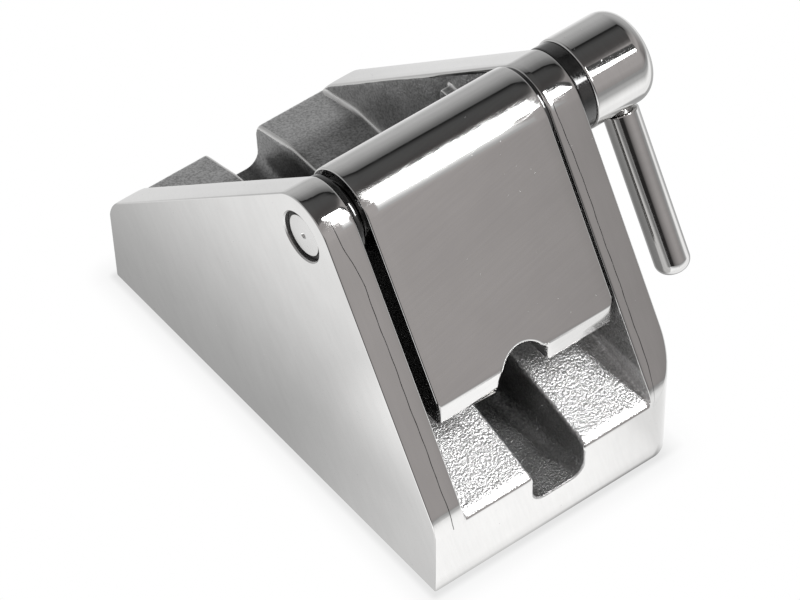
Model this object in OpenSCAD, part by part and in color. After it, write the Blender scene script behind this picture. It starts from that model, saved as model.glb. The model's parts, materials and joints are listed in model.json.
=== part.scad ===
// Anchor-chain stopper with a hinged pawl flap and a side lever.
// Frame: origin at the centre of the bottom face, +Z up.
// The chain runs along Y. The pawl hangs over the front end, at -Y.
// The lever is on the right cheek, at +X.

/* [Body casting] */
// Overall width across the two cheeks
base_w = 75; // [74:0.5:78]
// Length of the bottom face
base_l = 130; // [128:1:140]
// Height where the front slope of the cheeks meets the front face
front_h = 22.7; // [21.5:0.1:24]
// Height where the rear slope of the cheeks meets the rear face
rear_h = 25; // [24.6:0.1:28]
// How far the rear face leans back over its height
rear_lean = 1.5; // [0:0.1:2]
// Thickness of each cheek
cheek_t = 9; // [8.5:0.1:9.5]
// Radius of the large bend between front slope and front face
front_bend_r = 12; // [8:0.5:16]
// Radius of the cheeks' rear top corner
rear_bend_r = 12; // [8:0.5:14]
// Radius of the upright edge at the front right corner
right_edge_r = 8; // [4:0.5:8.5]

/* [Chain bed] */
// Height of the level part of the bed between the cheeks
bed_z = 28.4; // [28:0.1:29]
// Height of the bed at the front face
front_lip_z = 20.8; // [20.2:0.1:21.2]
// Length of the front ramp
front_ramp_l = 27; // [22:0.5:30]
// Height of the bed at the rear face
rear_lip_z = 24.2; // [23:0.1:24.4]
// Length of the rear ramp
rear_ramp_l = 14; // [12:0.5:18]
// Half width of the groove for the upright links
groove_half_w = 7.8; // [7:0.1:8.5]
// Height of the groove's floor
groove_z = 11.3; // [10:0.1:12]
// Radius of the groove's two bottom corners
groove_corner_r = 4; // [2:0.5:5]

/* [Pivot] */
// Distance of the pivot behind the front face
pivot_from_front = 49.4; // [49:0.1:50]
// Height of the pivot above the bottom face
pivot_z = 82.6; // [82:0.1:83.4]
// Radius of the cheeks' rounded tops
apex_r = 11.5; // [11:0.1:11.8]
// Radius of the pivot shaft
shaft_r = 5.5; // [5:0.1:5.6]
// Outer radius of the two bushes
bush_r = 6.6; // [6.4:0.1:7]
// Radial clearance between shaft and bushes
running_gap = 0.05; // [0.02:0.01:0.09]

/* [Pawl flap] */
// Radius of the flap's hinge barrel
barrel_r = 11.9; // [11.7:0.1:12.2]
// Width of the flap
flap_w = 53; // [51:0.5:53]
// Thickness of the flap's plate
plate_t = 11; // [9:0.5:12]
// Length of the flap's sloping face below the pivot
face_l = 50; // [48:0.5:51]
// Height of the upright face at the flap's lower end
end_h = 6; // [4:0.5:7]
// Radius of the notch that straddles an upright link
notch_r = 7; // [6:0.5:8]
// Radius of the upright edge at the flap's right lower corner
toe_right_r = 2; // [1:0.5:4.5]
// Radius of the upright edge at the flap's left lower corner
toe_left_r = 1.5; // [1:0.5:4.5]
// Width of each stop heel behind the barrel
heel_w = 7; // [5:0.5:8]
// Reach of the stop heels from the pivot
heel_reach = 27; // [24:0.5:29]

/* [Lever] */
// Radius of the lever's hub
hub_r = 12; // [11.5:0.1:12.5]
// Length of the lever's hub
hub_l = 19.7; // [18:0.1:22]
// Gap between the right cheek and the hub
hub_gap = 3.8; // [3:0.1:5]
// Radius of the lever rod
rod_r = 4.55; // [4:0.05:5]
// Distance of the rod's tip from the pivot
rod_tip = 56.3; // [50:0.1:70]
// Angle through which the flap and lever open
open_angle = 244; // [240:1:250]

/* [Deck fixing] */
// Spacing of the deck screws across the body
fix_x = 48; // [44:1:50]
// Spacing of the deck screws along the body
fix_y = 84; // [70:1:90]
// Drilled radius of the M8 threads in the underside
fix_r = 3.4; // [3.2:0.05:3.5]
// Depth of the threaded holes
fix_depth = 16; // [12:0.5:17]

/* [Hidden] */
$fn = 96;
EPS = 0.01;
FAR = 400;

// Places along X
cheek_out = base_w / 2;
cheek_in = cheek_out - cheek_t;
right_washer_t = 1;
flap_x1 = cheek_in - right_washer_t;
flap_x0 = flap_x1 - flap_w;
hub_x0 = cheek_out + hub_gap;
hub_x1 = hub_x0 + hub_l;
rod_x = hub_x0 + 11.4;
face_gap = 0.05;

// Places along Y and Z, written as [y, z]
front_y = -base_l / 2;
rear_y = base_l / 2;
pivot = [front_y + pivot_from_front, pivot_z];
front_corner = [front_y, front_h];
rear_corner = [rear_y + rear_lean, rear_h];

// The point where a line from p touches a circle, on the given side
function tangent_point(p, c, r, side) =
    let (d = c - p, a = atan2(d[1], d[0]) + side * asin(r / norm(d)))
    p + sqrt(d * d - r * r) * [cos(a), sin(a)];
function unit(v) = v / norm(v);
// Half of the angle at corner p between the directions to a and b
function half_angle(p, a, b) = acos(unit(a - p) * unit(b - p)) / 2;
// The point where a rounded corner starts, on the side towards a
function round_start(p, a, b, r) = p + unit(a - p) * r / tan(half_angle(p, a, b));
function round_centre(p, a, b, r) =
    p + unit(unit(a - p) + unit(b - p)) * r / sin(half_angle(p, a, b));

front_touch = tangent_point(front_corner, pivot, apex_r, 1);
rear_touch = tangent_point(rear_corner, pivot, apex_r, -1);
slope_dir = unit(front_corner - front_touch);
slope_out = [slope_dir[1], -slope_dir[0]];
slope_angle = atan2(-slope_dir[1], -slope_dir[0]);

// Extrudes a [y, z] outline along X from x0 to x1
module prism_x(x0, x1) {
    translate([x0, 0, 0]) rotate([90, 0, 90]) linear_extrude(x1 - x0) children();
}

// A round bar or disc about the pivot's axis
module disc_x(x0, x1, r) {
    translate([x0, pivot[0], pivot[1]]) rotate([0, 90, 0]) cylinder(r = r, h = x1 - x0);
}

module cone_x(x0, x1, r0, r1) {
    translate([x0, pivot[0], pivot[1]]) rotate([0, 90, 0]) cylinder(r1 = r0, r2 = r1, h = x1 - x0);
}

// Puts children that run along +Z on the lever's line, z = 0 at the pivot
module along_lever(x) {
    translate([x, pivot[0], pivot[1]]) rotate([slope_angle - 270, 0, 0]) children();
}

// Side outline of a cheek
module cheek_outline() {
    bottom_front = [front_y, 0];
    bottom_rear = [rear_y, 0];
    polygon([
        bottom_front,
        bottom_rear,
        round_start(rear_corner, bottom_rear, rear_touch, rear_bend_r),
        round_start(rear_corner, rear_touch, bottom_rear, rear_bend_r),
        rear_touch,
        front_touch,
        round_start(front_corner, front_touch, bottom_front, front_bend_r),
        round_start(front_corner, bottom_front, front_touch, front_bend_r)
    ]);
    translate(pivot) circle(apex_r);
    translate(round_centre(rear_corner, bottom_rear, rear_touch, rear_bend_r)) circle(rear_bend_r);
    translate(round_centre(front_corner, front_touch, bottom_front, front_bend_r)) circle(front_bend_r);
}

crest_r = 20;
lip_r = 2.5;
front_lip = [front_y, front_lip_z];
front_crest = [front_y + front_ramp_l, bed_z];
rear_crest = [rear_y - rear_ramp_l, bed_z];
rear_lip = [rear_y + rear_lean * rear_lip_z / rear_h, rear_lip_z];

// Side outline of the bed between the cheeks
module bed_outline() {
    bottom_front = [front_y, 0];
    bottom_rear = [rear_y, 0];
    intersection() {
        translate([-FAR / 2, 0]) square([FAR, FAR]);
        union() {
            polygon([
                bottom_front,
                bottom_rear,
                round_start(rear_lip, bottom_rear, rear_crest, lip_r),
                round_start(rear_lip, rear_crest, bottom_rear, lip_r),
                round_start(rear_crest, rear_lip, front_crest, crest_r),
                round_start(rear_crest, front_crest, rear_lip, crest_r),
                round_start(front_crest, rear_crest, front_lip, crest_r),
                round_start(front_crest, front_lip, rear_crest, crest_r),
                round_start(front_lip, front_crest, bottom_front, lip_r),
                round_start(front_lip, bottom_front, front_crest, lip_r)
            ]);
            translate(round_centre(rear_lip, bottom_rear, rear_crest, lip_r)) circle(lip_r);
            translate(round_centre(rear_crest, rear_lip, front_crest, crest_r)) circle(crest_r);
            translate(round_centre(front_crest, rear_crest, front_lip, crest_r)) circle(crest_r);
            translate(round_centre(front_lip, front_crest, bottom_front, lip_r)) circle(lip_r);
        }
    }
}

// End outline of the groove, open at the top
module groove_outline() {
    corner_x = groove_half_w - groove_corner_r;
    translate([-groove_half_w, groove_z + groove_corner_r]) square([2 * groove_half_w, FAR]);
    translate([-corner_x, groove_z]) square([2 * corner_x, FAR]);
    for (side = [-1, 1])
        translate([side * corner_x, groove_z + groove_corner_r]) circle(groove_corner_r);
}

// Stop lugs. Their tops carry the open flap, their undersides stop its heels
stop_gap = 0.15;
lug_y0 = 15;
lug_y1 = 28.8;
lug_drop = 22;
rest_tilt = slope_angle + 180 - open_angle;
right_lug_w = 2.8;
left_lug_w = 4.2;
heel_angle = -45;

// Height, below the pivot, of the open flap's face at a distance behind the pivot
function rest_z(y) = y * tan(rest_tilt) - (barrel_r + stop_gap) / cos(rest_tilt);

module lug_outline() {
    translate(pivot) polygon([
        [lug_y0, rest_z(lug_y0)],
        [lug_y0, lug_y0 * tan(heel_angle)],
        [-lug_drop / tan(heel_angle), -lug_drop],
        [lug_y1, -lug_drop],
        [lug_y1, rest_z(lug_y1)]
    ]);
}

// Takes away the sharp upright edge at the front right corner
module right_edge_cut() {
    translate([cheek_out - right_edge_r, front_y + right_edge_r, -1])
        linear_extrude(FAR)
            difference() {
                translate([0, -2 * right_edge_r]) square([2 * right_edge_r, 2 * right_edge_r]);
                circle(right_edge_r);
            }
}

module body() {
    root = 1;
    color("lightgray")
    difference() {
        union() {
            prism_x(-cheek_out, -cheek_in) cheek_outline();
            prism_x(cheek_in, cheek_out) cheek_outline();
            prism_x(-cheek_in - root, cheek_in + root) intersection() {
                bed_outline();
                cheek_outline();
            }
            prism_x(-cheek_in - root, -cheek_in + left_lug_w) lug_outline();
            prism_x(cheek_in - right_lug_w, cheek_in + root) lug_outline();
        }
        rotate([90, 0, 0]) translate([0, 0, -FAR / 2]) linear_extrude(FAR) groove_outline();
        right_edge_cut();
        disc_x(-cheek_out - 1, -cheek_in + 1, bush_r);
        disc_x(cheek_in - 1, cheek_out + 1, bush_r);
        for (x = [-1, 1], y = [-1, 1])
            translate([x * fix_x / 2, y * fix_y / 2, -1]) cylinder(r = fix_r, h = fix_depth + 1);
    }
}

left_bush_recess = 1.3;

module bush(x0, x1) {
    difference() {
        disc_x(x0, x1, bush_r);
        disc_x(x0 - 1, x1 + 1, shaft_r + running_gap);
    }
}

module left_bush() {
    color("dimgray") bush(-cheek_out + left_bush_recess, -cheek_in);
}

module right_bush() {
    color("dimgray") bush(cheek_in, cheek_out);
}

// A disc with chamfered rims
module chamfered_disc(x0, x1, r) {
    edge = 0.3;
    cone_x(x0, x0 + edge, r - edge, r);
    disc_x(x0 + edge, x1 - edge, r);
    cone_x(x1 - edge, x1, r, r - edge);
}

// The clearance bore of a ring around the shaft
module ring_bore(x0, x1) {
    disc_x(x0 - 1, x1 + 1, shaft_r + 2 * running_gap);
}

// A flat ring around the shaft
module ring(x0, x1, r) {
    difference() {
        chamfered_disc(x0, x1, r);
        ring_bore(x0, x1);
    }
}

washer_r = 11.1;
spacer_r = 11.5;
flange_t = 1.25;
sleeve_r = 8.6;

// A flange against the cheek and a narrower sleeve against the flap
module left_thrust_washer() {
    x0 = -cheek_in + face_gap;
    x1 = flap_x0 - face_gap;
    color("dimgray")
    difference() {
        union() {
            chamfered_disc(x0, x0 + flange_t, washer_r);
            chamfered_disc(x0, x1, sleeve_r);
        }
        ring_bore(x0, x1);
    }
}

module right_thrust_washer() {
    color("dimgray") ring(flap_x1 + face_gap, cheek_in - face_gap, washer_r);
}

module hub_spacer() {
    color("dimgray") ring(cheek_out + face_gap, hub_x0 - face_gap, spacer_r);
}

shaft_recess = 0.7;
shaft_edge = 0.4;
stud_r = 3;
hub_wall = 3.5;

module pivot_shaft() {
    x0 = -cheek_out + shaft_recess;
    x1 = hub_x1 - hub_wall;
    centre_r = 0.9;
    color("silver")
    difference() {
        union() {
            cone_x(x0, x0 + shaft_edge, shaft_r - shaft_edge, shaft_r);
            disc_x(x0 + shaft_edge, x1 - shaft_edge, shaft_r);
            cone_x(x1 - shaft_edge, x1, shaft_r, shaft_r - shaft_edge);
        }
        cone_x(x0 - EPS, x0 + centre_r, centre_r, EPS);
        along_lever(rod_x) translate([0, 0, -FAR / 2]) cylinder(r = stud_r, h = FAR);
    }
}

// Places of the two set screws that lock the flap to the shaft
screw_x = [-14, 14];
screw_r = 3;
screw_tilt = -5;
fit_gap = 0.02;

// Puts children that run along +Z on a set screw's line, z = 0 at the pivot
module along_screws() {
    for (x = screw_x)
        translate([x, pivot[0], pivot[1]]) rotate([screw_tilt - 90, 0, 0]) children();
}

// Side outline of the flap without its heels
module flap_outline() {
    face_top = pivot + slope_out * barrel_r;
    face_end = face_top + slope_dir * face_l;
    bottom = face_end[1] - end_h;
    back_top = face_top - slope_out * plate_t;
    back_drop = (back_top[1] - bottom) / -slope_dir[1];
    translate(pivot) circle(barrel_r);
    polygon([
        face_top,
        face_end,
        [face_end[0], bottom],
        back_top + slope_dir * back_drop,
        back_top
    ]);
}

module heel_outline() {
    heel_t = 8;
    root_in = 8;
    heel_clear = stop_gap / (heel_reach - heel_t) * 180 / PI;
    translate(pivot) rotate(heel_angle - heel_clear)
        translate([root_in, -heel_t]) square([heel_reach - root_in, heel_t]);
}

// What is cut away at one upright edge of the flap's lower end, on the side that faces way
module toe_corner(x, r, way, toe_y, low) {
    translate([x - way * r, toe_y + r, low - 1])
        difference() {
            translate([way > 0 ? 0 : -r - 1, -r - 1, 0]) cube([r + 1, r + 1, 2 * barrel_r]);
            translate([0, 0, -1]) cylinder(r = r, h = 2 * barrel_r + 2);
        }
}

module pawl_flap() {
    face_end = pivot + slope_out * barrel_r + slope_dir * face_l;
    bottom = face_end[1] - end_h;
    notch_z = bottom + 1.8;
    color("gray")
    difference() {
        union() {
            prism_x(flap_x0, flap_x1) flap_outline();
            prism_x(flap_x0, flap_x0 + heel_w) heel_outline();
            prism_x(flap_x1 - heel_w, flap_x1) heel_outline();
        }
        disc_x(flap_x0 - 1, flap_x1 + 1, shaft_r + fit_gap);
        translate([0, pivot[0], notch_z]) rotate([90, 0, 0]) cylinder(r = notch_r, h = FAR);
        translate([-notch_r, pivot[0] - FAR, 0]) cube([2 * notch_r, FAR, notch_z]);
        toe_corner(flap_x1, toe_right_r, 1, face_end[0], bottom);
        toe_corner(flap_x0, toe_left_r, -1, face_end[0], bottom);
        along_screws() cylinder(r = screw_r, h = 2 * barrel_r);
    }
}

module flap_set_screws() {
    screw_in = shaft_r + face_gap;
    screw_out = barrel_r - 0.6;
    key_r = 1.7;
    key_depth = 3;
    color("dimgray")
    along_screws()
        difference() {
            translate([0, 0, screw_in]) cylinder(r = screw_r, h = screw_out - screw_in);
            translate([0, 0, screw_out - key_depth]) cylinder(r = key_r, h = FAR, $fn = 6);
        }
}

rod_shoulder = hub_r + 0.4;

module lever_hub() {
    rim = 0.6;
    corner_r = 5;
    color("silver")
    difference() {
        union() {
            cone_x(hub_x0, hub_x0 + rim, hub_r - rim, hub_r);
            disc_x(hub_x0 + rim, hub_x1 - corner_r, hub_r);
            translate([0, pivot[0], pivot[1]]) rotate([0, 90, 0]) rotate_extrude() {
                translate([hub_r - corner_r, hub_x1 - corner_r]) intersection() {
                    circle(corner_r);
                    square(corner_r);
                }
                translate([0, hub_x1 - corner_r]) square([hub_r - corner_r, corner_r]);
            }
        }
        disc_x(hub_x0 - 1, hub_x1 - hub_wall + fit_gap, shaft_r + fit_gap);
        along_lever(rod_x) cylinder(r = stud_r, h = 2 * hub_r);
    }
}

rod_tap_l = 10;

module lever_rod() {
    tip_r = 3.4;
    edge = 0.5;
    color("silver")
    along_lever(rod_x)
        difference() {
            union() {
                translate([0, 0, rod_shoulder]) cylinder(r1 = rod_r - edge, r2 = rod_r, h = edge);
                translate([0, 0, rod_shoulder + edge])
                    cylinder(r = rod_r, h = rod_tip - tip_r - rod_shoulder - edge);
                rotate_extrude() {
                    translate([rod_r - tip_r, rod_tip - tip_r]) intersection() {
                        circle(tip_r);
                        square(tip_r);
                    }
                    translate([0, rod_tip - tip_r]) square([rod_r - tip_r, tip_r]);
                }
            }
            cylinder(r = stud_r, h = rod_shoulder + rod_tap_l);
        }
}

module rod_stud() {
    color("gray")
    along_lever(rod_x)
        translate([0, 0, -shaft_r + 1])
            cylinder(r = stud_r - fit_gap, h = rod_shoulder + rod_tap_l + shaft_r - 1.5);
}

body();
left_bush();
right_bush();
left_thrust_washer();
right_thrust_washer();
hub_spacer();
pivot_shaft();
pawl_flap();
flap_set_screws();
lever_hub();
lever_rod();
rod_stud();
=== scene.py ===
import bmesh
import bpy
import json
import math
import numpy as np
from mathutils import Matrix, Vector, noise


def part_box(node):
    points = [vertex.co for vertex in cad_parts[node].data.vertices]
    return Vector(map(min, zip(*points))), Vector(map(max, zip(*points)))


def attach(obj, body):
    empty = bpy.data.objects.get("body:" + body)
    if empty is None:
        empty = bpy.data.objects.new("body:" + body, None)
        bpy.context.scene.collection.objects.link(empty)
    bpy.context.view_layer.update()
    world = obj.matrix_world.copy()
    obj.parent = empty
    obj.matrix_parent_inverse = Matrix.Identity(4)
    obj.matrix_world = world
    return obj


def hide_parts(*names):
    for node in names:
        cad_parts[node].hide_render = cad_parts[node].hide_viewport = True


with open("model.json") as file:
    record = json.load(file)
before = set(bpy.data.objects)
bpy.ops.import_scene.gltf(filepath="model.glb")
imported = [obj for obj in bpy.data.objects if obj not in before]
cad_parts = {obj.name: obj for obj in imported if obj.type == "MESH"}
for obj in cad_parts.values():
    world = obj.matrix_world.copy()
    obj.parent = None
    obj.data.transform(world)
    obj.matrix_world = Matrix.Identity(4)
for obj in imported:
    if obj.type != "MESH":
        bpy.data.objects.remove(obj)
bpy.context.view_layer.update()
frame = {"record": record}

MM = 0.001


# ------------------------------------------------------------------ dimensions, in mm
def box_mm(node):
    """The low and the high corner of a node's CAD box."""
    return np.round(np.array([tuple(c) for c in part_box(node)]) / MM, 2)


PIVOT = np.round(np.array(frame["record"]["behaviour"]["joints"][0]["pos_m"][1:]) / MM, 2)

# Casting: cheeks and end faces
CHEEK_OUT = box_mm("body")[1][0]
CHEEK_IN = box_mm("right_bush")[0][0]
FRONT_Y = box_mm("body")[0][1]
REAR_Y = -FRONT_Y
REAR_LEAN = 1.5
REAR_H = 25.0
FRONT_H = 22.7
APEX_R = 11.5
BEND_R = 12.0
FRONT_BEND_DEG, REAR_BEND_DEG = 30.9, 45
UPRIGHT_R = 8.0
EDGE_R = 0.45
CROWN_OUT, CROWN_IN, CROWN_L = 0.10, 0.16, 2.4
SEAM_T = 0.014
# Seams across the cheeks' tops, thin dark lines painted in as a reflection: their place low on the front
# slope and at the top
LEFT_SEAM, RIGHT_SEAM = (0.62, 0.36), (0.80, 0.90)

# Casting: bed and groove
BED_Z = 28.4
BED_END_Z = 24.2
CREST_FRONT, CREST_REAR, CREST_R = 27.0, 14.0, 20.0
BED_END_R = 2.5
LIP_Z = 20.8
LIP_L = 0.45
# The lip's two arcs: centre, radius and the angles of its points
LIP_ARCS = ((FRONT_Y + 1.5, LIP_Z - 1.6, 1.5, (180, 171, 162, 153, 144)),
            (FRONT_Y + 3.98, LIP_Z - 4.075, 5.0, (135, 130, 125, 120, 115, 110, 105.7)))
GROOVE_HALF = 7.8
GROOVE_Z = 11.3
GROOVE_RIM_R, GROOVE_FLOOR_R = 0.9, 4.0

# Casting: bores, deck holes and stop lugs
BORE_R = PIVOT[1] - box_mm("right_bush")[0][2]
BORE_MOUTH = 0.35
BARE_R = 10.0
HOLE_X, HOLE_Y, HOLE_R, HOLE_DEPTH = 24.0, 42.0, 3.4, 16.0
THREAD_PITCH, THREAD_DEPTH = 1.25, 0.5
LUG_Y0, LUG_Y1, LUG_DROP = 15.0, 28.8, 22.0
LUG_TOP_DEG = -4.9
LUG_ROOT, LUG_FILLET = 2.0, 0.8
LEFT_LUG_W, RIGHT_LUG_W = 4.2, 2.8

# Flap
BARREL_R = 11.89
FLAP_X0 = box_mm("pawl_flap")[0][0]
FLAP_X1 = box_mm("pawl_flap")[1][0]
PLATE_T = 11.0
FACE_L = 50.0
TOE_H = 6.0
KNEE_R, TOE_R, FLAP_FILLET = 2.0, 0.9, 3.0
TOE_RIGHT_R, TOE_LEFT_R = 2.0, 1.5
NOTCH_R, NOTCH_UP, NOTCH_TOP = 7.0, 1.8, 25.0
HEEL_W, HEEL_T, HEEL_REACH, HEEL_ROOT = 7.0, 8.0, 27.0, 8.0
HEEL_DEG = -45.45

# Shaft, rings, lever and screws
SHAFT_R = PIVOT[1] - box_mm("pivot_shaft")[0][2]
SHAFT_X0, SHAFT_X1 = -36.8, 57.5
FIT = 0.02
BUSH_CLEAR, RING_CLEAR = 0.05, 0.1
BUSH_DEEP = 1.3
RING_R, SLEEVE_R, SPACER_R = 11.1, 8.6, 11.5
LEFT_RING_X = (-28.45, -27.2, -25.55)
RIGHT_RING_X = (27.55, 28.45)
SPACER_X = (37.55, 41.25)
HUB_X0 = box_mm("lever_hub")[0][0]
HUB_X1 = box_mm("lever_hub")[1][0]
HUB_R = PIVOT[1] - box_mm("lever_hub")[0][2]
HUB_SMALLER = 0.008
HUB_RIM, HUB_CORNER, HUB_CROWN = 0.55, 5.0, 0.35
ROD_X = round(float(box_mm("lever_rod")[:, 0].mean()), 1)
ROD_R = box_mm("lever_rod")[1][0] - ROD_X
ROD_GAP, ROD_END, ROD_TIP_R = 0.4, 56.3, 3.4
STUD_HOLE_R = 3.0
SCREW_X = 14.0
SCREW_DEG = 5


def unit(v):
    return v / np.linalg.norm(v)


def tangent_point(p, c, r, side):
    """Where the line from p touches the circle (c, r)."""
    d = c - p
    angle = math.atan2(d[1], d[0]) + side * math.asin(r / np.linalg.norm(d))
    reach = math.sqrt(d @ d - r * r)
    return p + reach * np.array([math.cos(angle), math.sin(angle)])


def quarter(n):
    """The angles of a quarter turn in n steps."""
    return [math.pi / 2 * i / n for i in range(n + 1)]


def corner_centre(p, a, b, r):
    """Centre of the arc that rounds the corner p between the directions to a and b."""
    u, v = unit(a - p), unit(b - p)
    half = math.acos(max(-1, min(1, u @ v))) / 2
    return p + unit(u + v) * r / math.sin(half)


def circle_arc(c, r, p0, p1, n):
    """Points on a circle from p0's direction to p1's, the short way round."""
    a0 = math.atan2(*(p0 - c)[::-1])
    turn = (math.atan2(*(p1 - c)[::-1]) - a0 + math.pi) % (2 * math.pi) - math.pi
    return [c + r * np.array([math.cos(a0 + turn * i / n), math.sin(a0 + turn * i / n)])
            for i in range(n + 1)]


def corner_arc(p, a, b, r, n):
    """Points of the rounded corner p, from a's side to b's."""
    c = corner_centre(p, a, b, r)
    u, v = unit(a - p), unit(b - p)
    return circle_arc(c, r, p + u * (u @ (c - p)), p + v * (v @ (c - p)), n)


FRONT_CORNER = np.array([FRONT_Y, FRONT_H])
REAR_CORNER = np.array([REAR_Y + REAR_LEAN, REAR_H])
FRONT_FOOT = np.array([FRONT_Y, 0.0])
REAR_FOOT = np.array([REAR_Y, 0.0])
FRONT_TOUCH = tangent_point(FRONT_CORNER, PIVOT, APEX_R, 1)
REAR_TOUCH = tangent_point(REAR_CORNER, PIVOT, APEX_R, -1)
DOWN = unit(FRONT_CORNER - FRONT_TOUCH)
OUT = np.array([DOWN[1], -DOWN[0]])


def cheek_line():
    """Upper side outline of the cheeks as [y, z], front to rear."""
    pts = corner_arc(FRONT_CORNER, FRONT_FOOT, FRONT_TOUCH, BEND_R, 14)
    pts += circle_arc(PIVOT, APEX_R, FRONT_TOUCH, REAR_TOUCH, 40)
    pts += corner_arc(REAR_CORNER, REAR_TOUCH, REAR_FOOT, BEND_R, 14)
    return np.array(pts)


def bed_line():
    """Side outline of the bed between the cheeks as [y, z], front to rear."""
    lip = np.array([FRONT_Y, LIP_Z])
    crest0 = np.array([FRONT_Y + CREST_FRONT, BED_Z])
    crest1 = np.array([REAR_Y - CREST_REAR, BED_Z])
    end = np.array([REAR_Y + REAR_LEAN * BED_END_Z / REAR_H, BED_END_Z])
    pts = []
    for y, z, r, degrees in LIP_ARCS:
        pts += [np.array([y + r * math.cos(a), z + r * math.sin(a)]) for a in np.radians(degrees)]
    pts += corner_arc(crest0, lip, crest1, CREST_R, 8)
    pts += corner_arc(crest1, crest0, end, CREST_R, 8)
    pts += corner_arc(end, crest1, REAR_FOOT, BED_END_R, 10)
    return np.array(pts)


# ------------------------------------------------------------------ mesh helpers
def new_object(name, verts, faces, mats=None):
    """A mesh object from points in mm."""
    mesh = bpy.data.meshes.new(name)
    mesh.from_pydata([tuple(MM * c for c in v) for v in verts], [], faces)
    if mats is not None:
        mesh.polygons.foreach_set("material_index", mats)
    bm = bmesh.new()
    bm.from_mesh(mesh)
    bmesh.ops.remove_doubles(bm, verts=bm.verts, dist=1e-7)
    face_outward(bm)
    bm.to_mesh(mesh)
    bm.free()
    obj = bpy.data.objects.new(name, mesh)
    bpy.context.scene.collection.objects.link(obj)
    return obj


def face_outward(bm):
    bmesh.ops.recalc_face_normals(bm, faces=bm.faces)
    if bm.calc_volume(signed=True) < 0:
        bmesh.ops.reverse_faces(bm, faces=bm.faces)


def apply_modifiers(obj):
    depsgraph = bpy.context.evaluated_depsgraph_get()
    mesh = bpy.data.meshes.new_from_object(obj.evaluated_get(depsgraph))
    obj.modifiers.clear()
    old = obj.data
    obj.data = mesh
    bpy.data.meshes.remove(old)


def boolean(obj, tool, how):
    """Cuts, joins or trims obj with tool, and removes the tool."""
    mod = obj.modifiers.new("bool", "BOOLEAN")
    mod.operation = how
    mod.solver = "EXACT"
    mod.material_mode = "INDEX"
    mod.object = tool
    apply_modifiers(obj)
    bpy.data.objects.remove(tool)


def smooth(obj, sharp_deg=60):
    """Smooth shading with large faces kept flat."""
    for p in obj.data.polygons:
        p.use_smooth = True
    obj.data.set_sharp_from_angle(angle=math.radians(sharp_deg))
    mod = obj.modifiers.new("normals", "WEIGHTED_NORMAL")
    mod.mode = "FACE_AREA"
    mod.weight = 50
    mod.keep_sharp = True
    apply_modifiers(obj)


def bridge(rings, closed=True):
    """Quads between rings that hold the same number of points."""
    n = len(rings[0])
    faces = []
    for i in range(len(rings) - 1):
        for j in range(n if closed else n - 1):
            k = (j + 1) % n
            faces.append((i * n + j, i * n + k, (i + 1) * n + k, (i + 1) * n + j))
    return faces


def lathe(name, profile, origin, axis, n=144, mat=0):
    """Turns a closed profile of (distance along axis, radius) about the axis."""
    axis = unit(np.array(axis, float))
    side = unit(np.cross(axis, [0.0, 0.0, 1.0] if abs(axis[2]) < 0.9 else [1.0, 0.0, 0.0]))
    other = np.cross(axis, side)
    turns = [2 * math.pi * j / n for j in range(n)]
    rings = [[np.array(origin, float) + axis * t + r * (math.cos(a) * side + math.sin(a) * other)
              for a in turns] for t, r in profile]
    faces = bridge(rings)
    if profile[0][1] > 0 and profile[-1][1] > 0:
        m = (len(rings) - 1) * n
        faces += [(m + j, m + (j + 1) % n, (j + 1) % n, j) for j in range(n)]
    obj = new_object(name, [v for ring in rings for v in ring], faces, [mat] * len(faces))
    clean(obj)
    return obj


def on_pivot(name, profile, n=144, mat=0):
    """A piece or a cutter turned about the pivot's axis."""
    return lathe(name, profile, (0, *PIVOT), (1, 0, 0), n, mat)


def on_rod(name, profile, n):
    """A piece or a cutter turned about the lever rod's axis, measured from the pivot's axis."""
    return lathe(name, profile, (ROD_X, *PIVOT), (0, *DOWN), n)


def on_screw(name, profile, x, n, mat=0):
    """A piece or a cutter turned about the axis of the set screw at x."""
    turn = math.radians(SCREW_DEG)
    return lathe(name, profile, (x, *PIVOT), (0, math.cos(turn), -math.sin(turn)), n, mat)


def clean(obj):
    """Merges points at the poles and drops faces without area."""
    bm = bmesh.new()
    bm.from_mesh(obj.data)
    bmesh.ops.remove_doubles(bm, verts=bm.verts, dist=1e-7)
    bmesh.ops.dissolve_degenerate(bm, dist=1e-7, edges=bm.edges)
    face_outward(bm)
    bm.to_mesh(obj.data)
    bm.free()


def rounded(corners, n):
    """A closed outline from (u, v, radius) corners, with outward normals."""
    spots = [np.array(c[:2], float) for c in corners]
    m = len(spots)
    area = sum(a[0] * b[1] - b[0] * a[1] for a, b in zip(spots, spots[1:] + spots[:1]))
    pts, normals = [], []
    for i in range(m):
        a, p, b = spots[i - 1], spots[i], spots[(i + 1) % m]
        cross = (p - a)[0] * (b - p)[1] - (p - a)[1] * (b - p)[0]
        centre = corner_centre(p, a, b, corners[i][2])
        for q in corner_arc(p, a, b, corners[i][2], n):
            pts.append(q)
            normals.append(unit(q - centre) if cross * area > 0 else -unit(q - centre))
    return np.array(pts), np.array(normals)


def ring_stack(name, pts, normals, rings, mat):
    """A solid from [y, z] outlines at places along X, each drawn in by its inset."""
    verts = [(x, *q) for x, inset in rings for q in pts - normals * inset]
    m = len(pts)
    faces = bridge([verts[i * m:(i + 1) * m] for i in range(len(rings))])
    faces += [tuple(range(m)), tuple(range(len(verts) - m, len(verts)))[::-1]]
    return new_object(name, verts, faces, [mat] * len(faces))


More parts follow.
